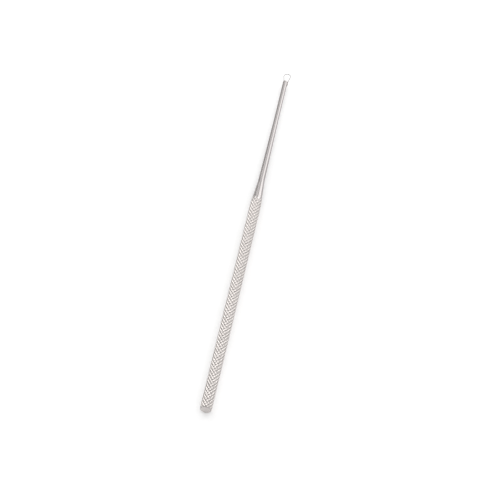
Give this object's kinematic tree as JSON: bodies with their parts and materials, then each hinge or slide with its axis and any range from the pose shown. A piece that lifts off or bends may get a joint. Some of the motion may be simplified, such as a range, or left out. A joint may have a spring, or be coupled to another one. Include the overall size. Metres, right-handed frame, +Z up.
{
  "type": "ear wax removal loop",
  "caption": "Slender steel hand tool: a diamond-knurled round handle flares down to a thin shank, whose slotted tip holds a small closed wire loop.",
  "frame": {"origin": "middle of the tool's length and width, on the plane that it lies on", "axes": "+Y along the tool from the butt of the handle to the wire loop, +Z up from the plane that it lies on, +X to the side across the loop's width"},
  "size_m": [0.0044, 0.165, 0.0044],
  "materials": {
    "satin_steel": "satin turned stainless steel with a cut diamond knurl",
    "bright_wire": "bright drawn stainless wire",
    "silver_braze": "smooth cast silver braze"
  },
  "bodies": {
    "root": {"handle_shank": "satin_steel", "wire_loop": "bright_wire", "braze_fill": "silver_braze"}
  },
  "joints": []
}
